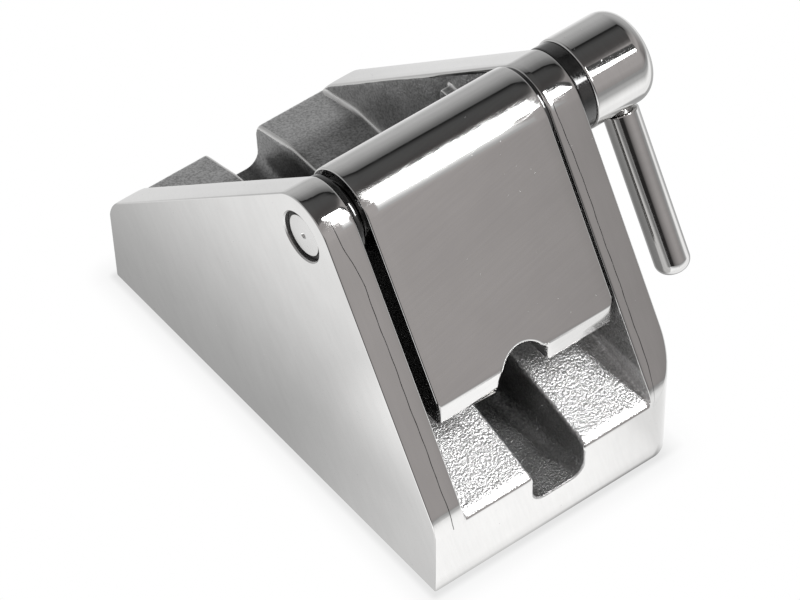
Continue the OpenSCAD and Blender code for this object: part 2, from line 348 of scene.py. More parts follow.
def prism_x(name, pts, normals, x0, x1, r, n, mat, crown=0.0, crown_l=0.0):
    """Extrudes a [y, z] outline along X. Its end edges are rounded to r, and its sides fall off by crown
    within crown_l of them."""
    rings = [(x0 + r * (1 - math.cos(a)), r * (1 - math.sin(a)) + crown) for a in quarter(n)]
    if crown:
        rings += [(x0 + r + crown_l * t, crown * (1 - t) ** 2) for t in (0.15, 0.32, 0.5, 0.72, 1.0)]
    rings += [(x1 - (x - x0), inset) for x, inset in rings[::-1]]
    return ring_stack(name, pts, normals, rings, mat)


def plate(name, outline, low, high, place, mat):
    """Extrudes an outline from low to high. place turns its two coordinates and the height into a point."""
    verts = [place(a, b, low) for a, b in outline] + [place(a, b, high) for a, b in outline]
    m = len(outline)
    faces = [(j, (j + 1) % m, m + (j + 1) % m, m + j) for j in range(m)]
    faces += [tuple(range(m))[::-1], tuple(range(m, 2 * m))]
    return new_object(name, verts, faces, [mat] * len(faces))


def bore_profile(x0, x1, r, mouth_r, chamfer, past):
    """Profile of a bore with a chamfer at both mouths, for a cutter that reaches past both ends."""
    return [(x0 - past, 0), (x0 - past, mouth_r + past), (x0, mouth_r), (x0 + chamfer, r),
            (x1 - chamfer, r), (x1, mouth_r), (x1 + past, mouth_r + past), (x1 + past, 0)]


# ------------------------------------------------------------------ the body casting
# Material slots of the body and the flap, and the kinds of the points of a cross-section
SKIN, CAST, MACHINED, TRIMMED, WORN, SEAM = range(6)
P_SKIN, P_CAST, P_LEDGE, P_WORN, P_SEAM = range(5)
N_WALL, N_LEDGE, N_GROOVE_WALL, N_GROOVE_FLOOR = 46, 30, 20, 5


def top_points(seam):
    """Places across a cheek's top, 0 at the outer edge and 1 at the inner, and their kinds."""
    pts = [(seam / LEFT_SEAM[0] * t, P_SKIN) for t in (0.045, 0.10, 0.16, 0.23, 0.31)]
    pts += [(seam - SEAM_T, P_SEAM), (seam + SEAM_T, P_SEAM)]
    first = seam + 2 * SEAM_T
    pts += [(first + (1 - first) * t, P_SKIN) for t in (0.12, 0.35, 0.58, 0.80)]
    return pts


def half_section(out, inn, zt, zb, edge, seam):
    """Half of a cross-section, from the bottom outer corner to the groove's middle.
    x is counted away from the middle plane: out and inn are the cheek's faces, zt its top, zb the bed and
    edge the inset near an end face. Returns points and their kinds."""
    ro = max(0.01, min(0.5, 0.45 * (out - inn)))
    ri = max(0.01, min(0.7, 0.45 * (out - inn), 0.45 * (zt - zb)))
    rf = max(0.005, min(1.1, 0.45 * (zt - zb)))
    g, rg, rc = GROOVE_HALF + edge, GROOVE_RIM_R, GROOVE_FLOOR_R
    zg = GROOVE_Z - edge
    pts, kinds = [], []

    def add(x, z, kind):
        pts.append((x, z))
        kinds.append(kind)

    def arc(cx, cz, r, a0, a1, n, kind):
        for i in range(n + 1):
            a = math.radians(a0 + (a1 - a0) * i / n)
            add(cx + r * math.cos(a), cz + r * math.sin(a), kind)

    def line(x0, z0, x1, z1, n, kind):
        for i in range(1, n):
            add(x0 + (x1 - x0) * i / n, z0 + (z1 - z0) * i / n, kind)

    arc(out - EDGE_R, edge + EDGE_R, EDGE_R, -90, 0, 4, P_SKIN)
    arc(out - ro, zt - ro - CROWN_OUT, ro, 0, 90, 4, P_SKIN)
    wide = (out - ro) - (inn + ri)
    for t, kind in top_points(seam):
        d_out, d_in = t * wide, (1 - t) * wide
        drop = CROWN_OUT * max(0, 1 - d_out / CROWN_L) ** 2 + CROWN_IN * max(0, 1 - d_in / CROWN_L) ** 2
        add(out - ro - d_out, zt - drop, kind)
    arc(inn + ri, zt - ri - CROWN_IN, ri, 90, 180, 4, P_SKIN)
    line(inn, zt - ri, inn, zb + rf, N_WALL, P_CAST)
    arc(inn - rf, zb + rf, rf, 0, -90, 4, P_WORN)
    line(inn - rf, zb, g + rg, zb, N_LEDGE, P_LEDGE)
    arc(g + rg, zb - rg, rg, 90, 180, 5, P_WORN)
    line(g, zb - rg, g, zg + rc, N_GROOVE_WALL, P_CAST)
    arc(g - rc, zg + rc, rc, 0, -90, 6, P_CAST)
    line(g - rc, zg, 0.0, zg, N_GROOVE_FLOOR, P_CAST)
    return pts, kinds


def clamp(t):
    return min(1.0, max(0.0, t))


def ease(t):
    return clamp(t) ** 2 * (3 - 2 * clamp(t))


def stations():
    """Section planes as (y at the bottom, lean), closer together at the ends and the bends."""
    edge = {EDGE_R * (1 - math.cos(a)) for a in quarter(4)}
    front = edge | {y - FRONT_Y for y in bed_line()[1:12, 0]}
    front |= {BEND_R * (1 - math.cos(math.radians(FRONT_BEND_DEG * i / 12))) for i in range(1, 13)}
    front |= {UPRIGHT_R * (1 - math.cos(a)) for a in quarter(13)[1:]}
    rear = edge | {4.2, 5.0, 5.8, 6.6, 7.4}
    rear |= {BEND_R * (1 - math.cos(math.radians(REAR_BEND_DEG * i / 12))) for i in range(1, 13)}
    bends = list(cheek_line()[:, 0]) + list(bed_line()[:, 0])
    end_l, step = 8, 0.72
    ys = [FRONT_Y + d for d in front] + [REAR_Y - d for d in rear]
    ys += [y for y in bends if FRONT_Y + end_l < y < REAR_Y - end_l]
    ys += list(np.arange(FRONT_Y + end_l + 0.6, REAR_Y - end_l, step))
    ys.sort()
    kept = [ys[0]]
    for y in ys[1:]:
        near_end = min(y - FRONT_Y, REAR_Y - y) < 2
        if y - kept[-1] > (0.012 if near_end else 0.3):
            kept.append(y)
    kept[-1] = REAR_Y
    # The sections start to lean at lean_y, so that the rear face follows the cheeks' rear edge
    full, lean_y, lean_l = (REAR_LEAN - 0.068) / REAR_H, 42, 18
    return [(y, full * ease((y - lean_y) / lean_l)) for y in kept]


def height_at(line, y, lean):
    g = line[:, 0] - lean * line[:, 1] - y
    return float(np.interp(0.0, g, line[:, 1]))


def fractal(p, scale, octaves):
    """Noise in [-1, 1] of a few octaves at a point in mm."""
    v, amp, total = 0.0, 1.0, 0.0
    q = Vector(p) * scale
    for _ in range(octaves):
        v += amp * noise.noise(q)
        total += amp
        amp *= 0.5
        q = q * 2.03
    return v / total


def seam_at(y, z, low, high):
    """Where a cheek's seam, a painted dark reflection line, runs across its top: it wanders a little and
    turns aside near the pivot.
    """
    wander = 0.010 * math.sin(0.55 * y) + 0.006 * math.sin(1.7 * y + 1.0)
    return low + (high - low) * ease((z - 76.0) / 14.0) + wander


def face_kind(a, b, p):
    """Material of a face of the body from the kinds of its points and its place."""
    # Seam faces low on the slopes take the painted dark reflection line
    if a == P_SEAM and b == P_SEAM:
        return SEAM if p[1] < PIVOT[0] - 4.0 and p[2] < 92.0 else SKIN
    if a in (P_SKIN, P_SEAM) or b in (P_SKIN, P_SEAM):
        return SKIN
    if P_CAST not in (a, b) and p[1] < FRONT_Y + LIP_L:
        return SKIN
    if a == P_WORN and b == P_WORN and p[1] > 0.0:
        return WORN
    return CAST


def draw_in(r, d):
    """How far a corner rounded to r draws back at distance d from the end face."""
    return r - math.sqrt(r ** 2 - (r - d) ** 2) if d < r else 0.0


def sections():
    """The body's cross-sections from front to rear as a grid of points, and the kinds along one section."""
    cheeks, bed = cheek_line(), bed_line()
    rings = []
    for y, lean in stations():
        zt = height_at(cheeks, y, lean)
        zb = min(height_at(bed, y, lean), zt - 0.02)
        edge = draw_in(EDGE_R, min(y - FRONT_Y, REAR_Y - y))
        upright = draw_in(UPRIGHT_R, y - FRONT_Y)
        inn = CHEEK_IN + edge
        left, half = half_section(CHEEK_OUT - edge, inn, zt, zb, edge, seam_at(y, zt, *LEFT_SEAM))
        right_out = max(CHEEK_OUT - upright, inn + 0.5) - (0 if upright else edge)
        right, _ = half_section(right_out, inn, zt, zb, edge, seam_at(y, zt, *RIGHT_SEAM))
        ring = [(-x, z) for x, z in left] + [(0.0, left[-1][1])] + [(x, z) for x, z in right[::-1]]
        rings.append([(x, y + lean * z, z) for x, z in ring])
    return np.array(rings), np.array(half + [P_CAST] + half[::-1])


def roughen(grid, kinds):
    """As-cast skin: pushes the grid points of the channel in and out, less towards its edges and not at
    all beside the bores."""
    normal = np.cross(np.gradient(grid, axis=1), np.gradient(grid, axis=0))
    normal = normal / np.maximum(np.linalg.norm(normal, axis=2, keepdims=True), 1e-9)
    plain = [k for k, kind in enumerate(kinds) if kind in (P_SKIN, P_SEAM)]
    for i in range(len(grid)):
        y = grid[i, 0, 1]
        end = clamp((y - (FRONT_Y + LIP_L)) / 2.0) * clamp((REAR_Y - 0.3 - y) / 2.0)
        for j in range(len(kinds)):
            p = grid[i, j]
            side = min(abs(j - k) for k in plain) / 3.0
            push = end * clamp(side) * clamp(math.hypot(p[1] - PIVOT[0], p[2] - PIVOT[1]) - BARE_R)
            if push > 0:
                fine = 0.10 if y < 8 else 0.04
                h = fine * fractal(p, 0.75, 3) + 0.10 * fractal(p + 40, 0.16, 2)
                grid[i, j] = p + normal[i, j] * h * push


def make_body():
    grid, kinds = sections()
    roughen(grid, kinds)
    n = len(kinds)
    verts = grid.reshape(-1, 3)
    faces = bridge(grid)
    mats = [face_kind(kinds[j], kinds[(j + 1) % n], ring[j]) for ring in grid[:-1] for j in range(n)]
    faces += [tuple(range(n)), tuple(range(len(verts) - n, len(verts)))[::-1]]
    body = new_object("body_casting", verts, faces, mats + [SKIN, SKIN])
    for x0, x1 in ((-CHEEK_OUT, -CHEEK_IN), (CHEEK_IN, CHEEK_OUT)):
        profile = bore_profile(x0, x1, BORE_R, BORE_R + BORE_MOUTH, BORE_MOUTH, 3)
        boolean(body, on_pivot("bore_tool", profile, 128, MACHINED), "DIFFERENCE")
    clear_gap(body)
    add_lug(body, 1, LEFT_LUG_W)
    add_lug(body, -1, RIGHT_LUG_W)
    for x in (-HOLE_X, HOLE_X):
        for y in (-HOLE_Y, HOLE_Y):
            tool = lathe("hole_tool", thread_profile(HOLE_R, 0.6, 15.0), (x, y, 0), (0, 0, 1), 48, MACHINED)
            boolean(body, tool, "DIFFERENCE")
    return body


def clear_gap(body):
    """Drops what the bore cutters may leave behind in the channel, between the cheeks and the barrel."""
    bm = bmesh.new()
    bm.from_mesh(body.data)
    stray = []
    for face in bm.faces:
        x, y, z = face.calc_center_median() / MM
        if abs(x) < CHEEK_IN - 0.05 and math.hypot(y - PIVOT[0], z - PIVOT[1]) < BARE_R + 0.5:
            stray.append(face)
    bmesh.ops.delete(bm, geom=stray, context="FACES")
    bm.to_mesh(body.data)
    bm.free()


def thread_profile(r, start, end):
    """Profile of a threaded hole from below, its thread as plain grooves."""
    prof = [(-2.0, 0.0), (-2.0, r + 2.6), (0.0, r + 0.6), (start, r)]
    t = start + 0.3
    while t + THREAD_PITCH < end:
        for part, depth in ((0.0, 0.0), (0.45, THREAD_DEPTH), (0.55, THREAD_DEPTH), (0.95, 0.0)):
            prof.append((t + THREAD_PITCH * part, r + depth))
        t += THREAD_PITCH
    return prof + [(end, r), (HOLE_DEPTH, r), (HOLE_DEPTH, 0.0)]


def lug_outline():
    """Side outline of a stop lug as (y, z, radius): its top carries the open flap."""
    lean = math.radians(LUG_TOP_DEG)

    def top(y):
        return y * math.tan(lean) - (BARREL_R + 0.15) / math.cos(lean)

    pts = [(LUG_Y0, top(LUG_Y0), 0.4), (LUG_Y0, -LUG_Y0, 0.4), (LUG_DROP, -LUG_DROP, 0.6),
           (LUG_Y1, -LUG_DROP, 0.6), (LUG_Y1, top(LUG_Y1), 0.8)]
    return [(PIVOT[0] + y, PIVOT[1] + z, r) for y, z, r in pts]


def add_lug(body, way, width):
    """Adds the stop lug inside a cheek, with a fillet at its root. way is 1 on the left, -1 on the right."""
    pts, normals = rounded(lug_outline(), 4)
    wall = -way * CHEEK_IN
    rings = [(wall - way * 0.5, -LUG_FILLET), (wall, -LUG_FILLET)]
    rings += [(wall + way * LUG_FILLET * (1 - math.cos(a)), -LUG_FILLET * (1 - math.sin(a)))
              for a in (0.35, 0.7, 1.05, 1.35)]
    rings += [(wall + way * LUG_FILLET, 0.0)]
    boolean(body, ring_stack("lug_fillet", pts, normals, rings, WORN), "UNION")
    x0, x1 = sorted((wall - way * LUG_ROOT, wall + way * width))
    tool = prism_x("lug_tool", pts, normals, x0, x1, 0.38, 3, CAST)
    for f in tool.data.polygons:
        if f.area < 3.2 * MM * MM and len(f.vertices) == 4:
            f.material_index = WORN
    boolean(body, tool, "UNION")


# ------------------------------------------------------------------ the pawl flap
def local(s, n):
    """[y, z] of a point s down the flap's face and n out from the pivot's axis."""
    return PIVOT + DOWN * s + OUT * n


def flap_outline():
    """Side outline of the flap without its heels, with outward normals, and the height of its lowest edge."""
    back = BARREL_R - PLATE_T
    top = local(0, BARREL_R)
    knee = local(FACE_L, BARREL_R)
    toe = np.array([knee[0], knee[1] - TOE_H])
    heel = local((local(0, back)[1] - toe[1]) / -DOWN[1], back)
    s = math.sqrt((BARREL_R + FLAP_FILLET) ** 2 - (back - FLAP_FILLET) ** 2)
    centre = local(s, back - FLAP_FILLET)
    on_plane = local(s, back)
    on_barrel = PIVOT + unit(centre - PIVOT) * BARREL_R
    pts, normals = [], []

    def add(arc, c, sign=1):
        pts.extend(arc)
        normals.extend(sign * unit(q - c) for q in arc)

    for p, a, b, r, n in ((knee, top, toe, KNEE_R, 8), (toe, knee, heel, TOE_R, 6),
                          (heel, toe, on_plane, TOE_R, 6)):
        add(corner_arc(p, a, b, r, n), corner_centre(p, a, b, r))
    add(circle_arc(centre, FLAP_FILLET, on_plane, on_barrel, 8), centre, -1)
    # The barrel, from the fillet round the back and over the top
    a0 = math.atan2(*(on_barrel - PIVOT)[::-1])
    turn = (math.atan2(*(top - PIVOT)[::-1]) - a0) % (2 * math.pi)
    angles = [a0 + turn * i / 96 for i in range(97)]
    add([PIVOT + BARREL_R * np.array([math.cos(a), math.sin(a)]) for a in angles], PIVOT)
    return np.array(pts), np.array(normals), toe[1]


def heel_outline():
    """Side outline of a stop heel behind the barrel as (y, z, radius)."""
    cs, sn = math.cos(math.radians(HEEL_DEG)), math.sin(math.radians(HEEL_DEG))
    corners = ((HEEL_ROOT, -HEEL_T, 0.9), (HEEL_REACH, -HEEL_T, 1.2),
               (HEEL_REACH, 0, 1.2), (HEEL_ROOT, 0, 0.9))
    return [(PIVOT[0] + u * cs - v * sn, PIVOT[1] + u * sn + v * cs, r) for u, v, r in corners]


def notch_tool(bottom):
    """What the half-round notch takes away, with a flare at its left foot."""
    n, z0 = 48, bottom + NOTCH_UP
    ring = [(-NOTCH_R - NOTCH_UP, NOTCH_TOP)]
    ring += [(-NOTCH_R - NOTCH_UP + NOTCH_UP * math.sin(a), z0 - NOTCH_UP * math.cos(a))
             for a in np.radians([0, 18, 36, 54, 72])]
    ring += [(-NOTCH_R * math.cos(math.pi * i / n), z0 + NOTCH_R * math.sin(math.pi * i / n))
             for i in range(n + 1)]
    ring += [(NOTCH_R, NOTCH_TOP)]
    return plate("notch_tool", ring, -75.0, -10.0, lambda x, z, y: (x, y, z), TRIMMED)


def toe_tool(x, r, way, y, low):
    """What is cut away at an upright edge of the flap's lower end. way is 1 on the right, -1 on the left."""
    plan = [(x - way * r + way * r * math.sin(a), y + r - r * math.cos(a)) for a in quarter(14)]
    plan += [(x + way * 1.0, y + r), (x + way * 1.0, y - 1.0), (x - way * r, y - 1.0)]
    return plate("toe_tool", plan, low, low + 24.0, lambda a, b, z: (a, b, z), TRIMMED)


def make_flap():
    pts, normals, bottom = flap_outline()
    flap = prism_x("pawl_flap_plate", pts, normals, FLAP_X0, FLAP_X1, 0.45, 6, SKIN, 0.12, 3.2)
    for x0, x1 in ((FLAP_X0 + 0.04, FLAP_X0 + HEEL_W), (FLAP_X1 - HEEL_W, FLAP_X1 - 0.04)):
        boolean(flap, prism_x("heel_tool", *rounded(heel_outline(), 4), x0, x1, 0.6, 4, CAST), "UNION")
    profile = bore_profile(FLAP_X0, FLAP_X1, SHAFT_R + FIT, SHAFT_R + 0.3, 0.3, 2)
    boolean(flap, on_pivot("bore_tool", profile, 96, MACHINED), "DIFFERENCE")
    r = STUD_HOLE_R
    profile = [(0.0, 0.0), (0.0, r), (BARREL_R - 0.35, r), (BARREL_R + 0.3, r + 0.65),
               (BARREL_R + 3, r + 3.5), (BARREL_R + 3, 0.0)]
    for x in (-SCREW_X, SCREW_X):
        boolean(flap, on_screw("screw_tool", profile, x, 48, MACHINED), "DIFFERENCE")
    boolean(flap, notch_tool(bottom), "DIFFERENCE")
    round_trimmed(flap, 1.15, False)
    knee_y = local(FACE_L, BARREL_R)[0]
    for x, r, way in ((FLAP_X1, TOE_RIGHT_R, 1), (FLAP_X0, TOE_LEFT_R, -1)):
        boolean(flap, toe_tool(x, r, way, knee_y, bottom - 1.0), "DIFFERENCE")
    round_trimmed(flap, 0.5, True)
    # The notch's wall is worn
    high = bottom + NOTCH_UP + NOTCH_R + 0.1
    for face in flap.data.polygons:
        x, y, z = face.center / MM
        if abs(x) < NOTCH_R + 0.1 and bottom + 0.2 < z < high and abs(face.normal.y) < 0.2:
            face.material_index = WORN
    return flap


def round_trimmed(obj, offset, clamp):
    """Rounds the rims of the faces that a cutter left, which carry the material index TRIMMED."""
    bm = bmesh.new()
    bm.from_mesh(obj.data)
    rim = []
    for e in bm.edges:
        if len(e.link_faces) == 2:
            a, b = e.link_faces
            if (a.material_index == TRIMMED) != (b.material_index == TRIMMED) and e.calc_face_angle() > 0.35:
                rim.append(e)
    bmesh.ops.bevel(bm, geom=rim, offset=offset * MM, offset_type="OFFSET", segments=5,
                    profile=0.5, affect="EDGES", clamp_overlap=clamp)
    for f in bm.faces:
        if f.material_index == TRIMMED:
            f.material_index = SKIN
    face_outward(bm)
    bm.to_mesh(obj.data)
    bm.free()


# ------------------------------------------------------------------ turned pieces
def ring_profile(x0, x1, r_in, r_out, c=0.3):
    """A ring whose outer edges are rounded to c."""
    near = [(x0 + c * (1 - math.sin(a)), r_out - c * (1 - math.cos(a))) for a in quarter(4)[::-1]]
    far = [(x1 - (x - x0), r) for x, r in near[::-1]]
    return [(x0, r_in)] + near + far + [(x1, r_in)]


def stepped_profile(x0, x1, x2, r_in, r_flange, r_sleeve):
    """A flange from x0 to x1 with a sleeve on to x2."""
    flange = ring_profile(x0, x1, r_in, r_flange)[:-1]
    sleeve = ring_profile(x1, x2, r_in, r_sleeve)[6:]
    return flange + [(x1, r_sleeve)] + sleeve


def make_rings():
    """The bushes, thrust washers and spacer by node."""
    bush, ring = SHAFT_R + BUSH_CLEAR, SHAFT_R + RING_CLEAR
    left = ring_profile(-CHEEK_OUT + BUSH_DEEP, -CHEEK_IN, bush, BORE_R - 0.01, 0.2)
    right = ring_profile(CHEEK_IN, CHEEK_OUT, bush, BORE_R - 0.01, 0.2)
    stepped = stepped_profile(*LEFT_RING_X, ring, RING_R, SLEEVE_R)
    return {
        "left_bush": on_pivot("left_bush_ring", left, 96),
        "right_bush": on_pivot("right_bush_ring", right, 96),
        "left_thrust_washer": on_pivot("left_thrust_ring", stepped),
        "right_thrust_washer": on_pivot("right_thrust_ring", ring_profile(*RIGHT_RING_X, ring, RING_R, 0.2)),
        "hub_spacer": on_pivot("hub_spacer_ring", ring_profile(*SPACER_X, ring, SPACER_R))}


def make_shaft():
    """The shaft, with a centre drilling in its left end and the stud's hole near its right one."""
    x0, x1 = SHAFT_X0, SHAFT_X1
    profile = [(x0 + 1.2, 0.0), (x0 + 1.05, 0.30), (x0 + 0.06, 0.84), (x0, 0.9), (x0, SHAFT_R - 0.4)]
    profile += [(x0 + 0.12, SHAFT_R - 0.12), (x0 + 0.4, SHAFT_R)]
    profile += [(x1 - 0.4, SHAFT_R), (x1, SHAFT_R - 0.4), (x1, 0.0)]
    shaft = on_pivot("pivot_shaft_bar", profile)
    r = STUD_HOLE_R
    boolean(shaft, on_rod("stud_tool", [(-9.0, 0), (-9.0, r), (9.0, r), (9.0, 0)], 64), "DIFFERENCE")
    return shaft


def make_hub():
    """The lever's hub, with a large outer corner, a crowned end and the stud's hole."""
    hub_r = HUB_R - HUB_SMALLER
    socket, end, flat = SHAFT_X1 + FIT, HUB_X1 - HUB_CROWN, hub_r - HUB_CORNER
    profile = [(socket, 0.0), (socket, SHAFT_R + FIT), (HUB_X0, SHAFT_R + FIT)]
    profile += [(HUB_X0 + HUB_RIM * (1 - math.cos(a)), hub_r - HUB_RIM + HUB_RIM * math.sin(a))
                for a in quarter(4)]
    profile += [(end - HUB_CORNER + HUB_CORNER * math.sin(a), flat + HUB_CORNER * math.cos(a))
                for a in quarter(14)[:-1]]
    profile += [(HUB_X1 - HUB_CROWN * (1 - i / 8) ** 2, flat * (1 - i / 8)) for i in range(9)]
    hub = on_pivot("lever_hub_cap", profile, 192)
    r = STUD_HOLE_R
    profile = [(4.0, 0), (4.0, r), (11.9, r), (12.1, r + 0.3), (14.0, r + 2.2), (14.0, 0)]
    boolean(hub, on_rod("stud_tool", profile, 64), "DIFFERENCE")
    return hub


def make_rod():
    """The lever's rod, with a blind hole for the stud and a domed tip."""
    s0, r = HUB_R + ROD_GAP, STUD_HOLE_R
    profile = [(s0 + 10.0, 0.0), (s0 + 10.0, r), (s0, r), (s0, ROD_R - 0.45), (s0 + 0.13, ROD_R - 0.13),
               (s0 + 0.45, ROD_R)]
    profile += [(ROD_END - ROD_TIP_R * (1 - math.sin(a)), ROD_R - ROD_TIP_R * (1 - math.cos(a)))
                for a in quarter(14)]
    return on_rod("lever_rod_bar", profile + [(ROD_END, 0.0)], 128)


def make_stud():
    profile = [(-4.5, 0.0), (-4.5, 2.7), (-4.2, 2.98), (21.6, 2.98), (21.9, 2.7), (21.9, 0.0)]
    return on_rod("rod_stud_pin", profile, 64)


def make_screws():
    """Two set screws with a hexagon socket, as one object."""
    profile = [(SHAFT_R + 0.05, 0.0), (SHAFT_R + 0.05, 2.3), (SHAFT_R + 0.6, 2.95)]
    t = SHAFT_R + 1.0
    while t < BARREL_R - 1.6:
        profile += [(t, 2.97), (t + 0.45, 2.55), (t + 0.9, 2.97)]
        t += 1.0
    profile += [(BARREL_R - 1.0, 2.95), (BARREL_R - 0.6, 2.5), (BARREL_R - 0.6, 0.0)]
    key = [(BARREL_R - 3.6, 0), (BARREL_R - 3.6, 1.7), (BARREL_R, 1.7), (BARREL_R, 0)]
    parts = []
    for x in (-SCREW_X, SCREW_X):
        screw = on_screw("screw", profile, x, 48)
        boolean(screw, on_screw("key_tool", key, x, 6), "DIFFERENCE")
        clean(screw)
        parts.append(screw)
    with bpy.context.temp_override(active_object=parts[0], selected_editable_objects=parts):
        bpy.ops.object.join()
    return parts[0]


# ------------------------------------------------------------------ materials
TINT = (1.0, 0.994, 0.984)


class Net:
    """Short spellings for building a node tree."""

    def __init__(self, tree):
        self.tree = tree
        tree.nodes.clear()

    def node(self, kind, **settings):
        made = self.tree.nodes.new("ShaderNode" + kind)
        for key, value in settings.items():
            setattr(made, key, value)
        return made

    def put(self, value, socket):
        if isinstance(value, bpy.types.NodeSocket):
            self.tree.links.new(value, socket)
        else:
            socket.default_value = value

    def math(self, op, a, b=0.0, c=0.0, clamp=False):
        made = self.node("Math", operation=op, use_clamp=clamp)
        for value, socket in zip((a, b, c), made.inputs):
            self.put(value, socket)
        return made.outputs[0]

    def mul(self, a, b, clamp=False):
        return self.math("MULTIPLY", a, b, clamp=clamp)

    def add(self, a, b, clamp=False):
        return self.math("ADD", a, b, clamp=clamp)

    def sub(self, a, b):
        return self.math("SUBTRACT", a, b)

    def less(self, value, mask, part):
        """value, with a part of it taken away where the mask is 1."""
        return self.mul(value, self.sub(1.0, self.mul(mask, part)))

    def xyz(self, output="Object"):
        """The three coordinates of the shaded point."""
        split = self.node("SeparateXYZ")
        self.put(self.node("TexCoord").outputs[output], split.inputs[0])
        return split.outputs

    def bump(self, shader, height, distance):
        made = self.node("Bump")
        made.inputs["Strength"].default_value = 1.0
        made.inputs["Distance"].default_value = distance
        self.put(height, made.inputs["Height"])
        self.put(made.outputs["Normal"], shader.inputs["Normal"])

    def step(self, value, lo, hi, out_lo=0.0, out_hi=1.0):
        made = self.node("MapRange", interpolation_type="SMOOTHSTEP")
        places = ("Value", "From Min", "From Max", "To Min", "To Max")
        for v, key in zip((value, lo, hi, out_lo, out_hi), places):
            self.put(v, made.inputs[key])
        return made.outputs["Result"]

    def ramp(self, value, lo, hi, stops):
        """A grey ramp over value in [lo, hi]; stops are (value, grey)."""
        made = self.node("ValToRGB")
        self.put(self.math("DIVIDE", self.sub(value, lo), hi - lo), made.inputs["Fac"])
        cr = made.color_ramp
        while len(cr.elements) > 1:
            cr.elements.remove(cr.elements[-1])
        cr.elements[0].position = (stops[0][0] - lo) / (hi - lo)
        cr.elements[0].color = (stops[0][1],) * 3 + (1,)
        for v, grey in stops[1:]:
            e = cr.elements.new((v - lo) / (hi - lo))
            e.color = (grey,) * 3 + (1,)
        return made.outputs["Color"]

    def noise(self, scale, detail=2.0, stretch=(1, 1, 1), rough=0.5, shift=0.0, turn=(0, 0, 0)):
        coord = self.node("TexCoord").outputs["Object"]
        if any(turn):
            rotate = self.node("Mapping")
            self.put(coord, rotate.inputs["Vector"])
            rotate.inputs["Rotation"].default_value = turn
            coord = rotate.outputs["Vector"]
        mapping = self.node("Mapping")
        self.put(coord, mapping.inputs["Vector"])
        mapping.inputs["Scale"].default_value = stretch
        mapping.inputs["Location"].default_value = (shift, shift * 0.7, shift * 1.3)
        made = self.node("TexNoise")
        self.put(mapping.outputs["Vector"], made.inputs["Vector"])
        made.inputs["Scale"].default_value = scale
        made.inputs["Detail"].default_value = detail
        made.inputs["Roughness"].default_value = rough
        return made.outputs["Fac"]

    def voronoi(self, scale, shift=0.0):
        coord = self.node("TexCoord").outputs["Object"]
        mapping = self.node("Mapping")
        self.put(coord, mapping.inputs["Vector"])
        mapping.inputs["Location"].default_value = (shift, shift, shift)
        made = self.node("TexVoronoi")
        self.put(mapping.outputs["Vector"], made.inputs["Vector"])
        made.inputs["Scale"].default_value = scale
        return made

    def grey(self, value):
        made = self.node("CombineColor")
        for socket in made.inputs:
            self.put(value, socket)
        return made.outputs["Color"]


EVEN = (1, 1, 1)


def new_material(name, kind="BsdfPrincipled"):
    """A material whose surface is one shader, with its net and that shader."""
    mat = bpy.data.materials.new(name)
    mat.use_nodes = True
    net = Net(mat.node_tree)
    shader = net.node(kind)
    net.put(shader.outputs[0], net.node("OutputMaterial").inputs["Surface"])
    return mat, net, shader


def metal(name, base, rough, grain, grain_bump, grain_rough, spots, blotch, turn=(0, 0, 0), shade=0.012,
          streak_z=None, streak=0.0, painted_side_shade=None):
    """Brushed or polished steel. base and rough are (low, high) values of colour and roughness, grain is
    the stretch of the brushed lines, turn their direction, spots and blotch the scales of pits and smudges.
    Between the heights streak_z the polish is broken by rough streaks that run round the pivot.
    The last argument darkens the steel along X, a painted shade on one side: (from, to, factor)."""
    mat, net, shader = new_material(name)
    shader.inputs["Metallic"].default_value = 1.0
    lines = net.noise(1.0, 3.0, grain, 0.6, 0.0, turn)
    fine = net.noise(1.0, 2.0, tuple(g * 2.7 for g in grain), 0.6, 3.0, turn)
    smudge = net.noise(blotch, 3.0, EVEN, 0.55, 7.0)
    pit = net.step(net.voronoi(spots).outputs["Distance"], 0.04, 0.11, 1.0, 0.0)
    pit = net.mul(pit, net.step(net.noise(spots * 0.31, 0.0, EVEN, 0.5, 11.0), 0.56, 0.62))
    x, _, z = net.xyz()
    value = net.step(smudge, 0.3, 0.7, base[0], base[1])
    value = net.add(value, net.step(lines, 0.25, 0.75, -shade, shade))
    value = net.sub(value, net.mul(pit, 0.08))
    # Painted shade: the steel is darkened towards one side along X
    if painted_side_shade:
        value = net.mul(value, net.step(x, painted_side_shade[0], painted_side_shade[1], 1.0, painted_side_shade[2]))
    colour = net.node("CombineColor")
    for socket, t in zip(colour.inputs, TINT):
        net.put(net.mul(value, t), socket)
    net.put(colour.outputs["Color"], shader.inputs["Base Color"])
    r = net.step(smudge, 0.25, 0.75, rough[0], rough[1])
    r = net.add(r, net.step(lines, 0.42, 0.72, 0.0, grain_rough))
    r = net.add(r, net.mul(pit, 0.40), clamp=True)
    if streak_z:
        rise0, rise1, fall0, fall1 = streak_z
        high = net.mul(net.step(z, rise0, rise1), net.step(z, fall0, fall1, 1.0, 0.0))
        rays = net.step(net.noise(1.0, 2.0, (3400, 90, 90), 0.6, 17.0), 0.30, 0.72, 0.62, 1.0)
        r = net.add(r, net.mul(net.mul(rays, high), streak), clamp=True)
    net.put(r, shader.inputs["Roughness"])
    height = net.add(net.mul(lines, 0.6), net.mul(fine, 0.4))
    net.bump(shader, net.sub(height, net.mul(pit, 2.5)), grain_bump)
    return mat


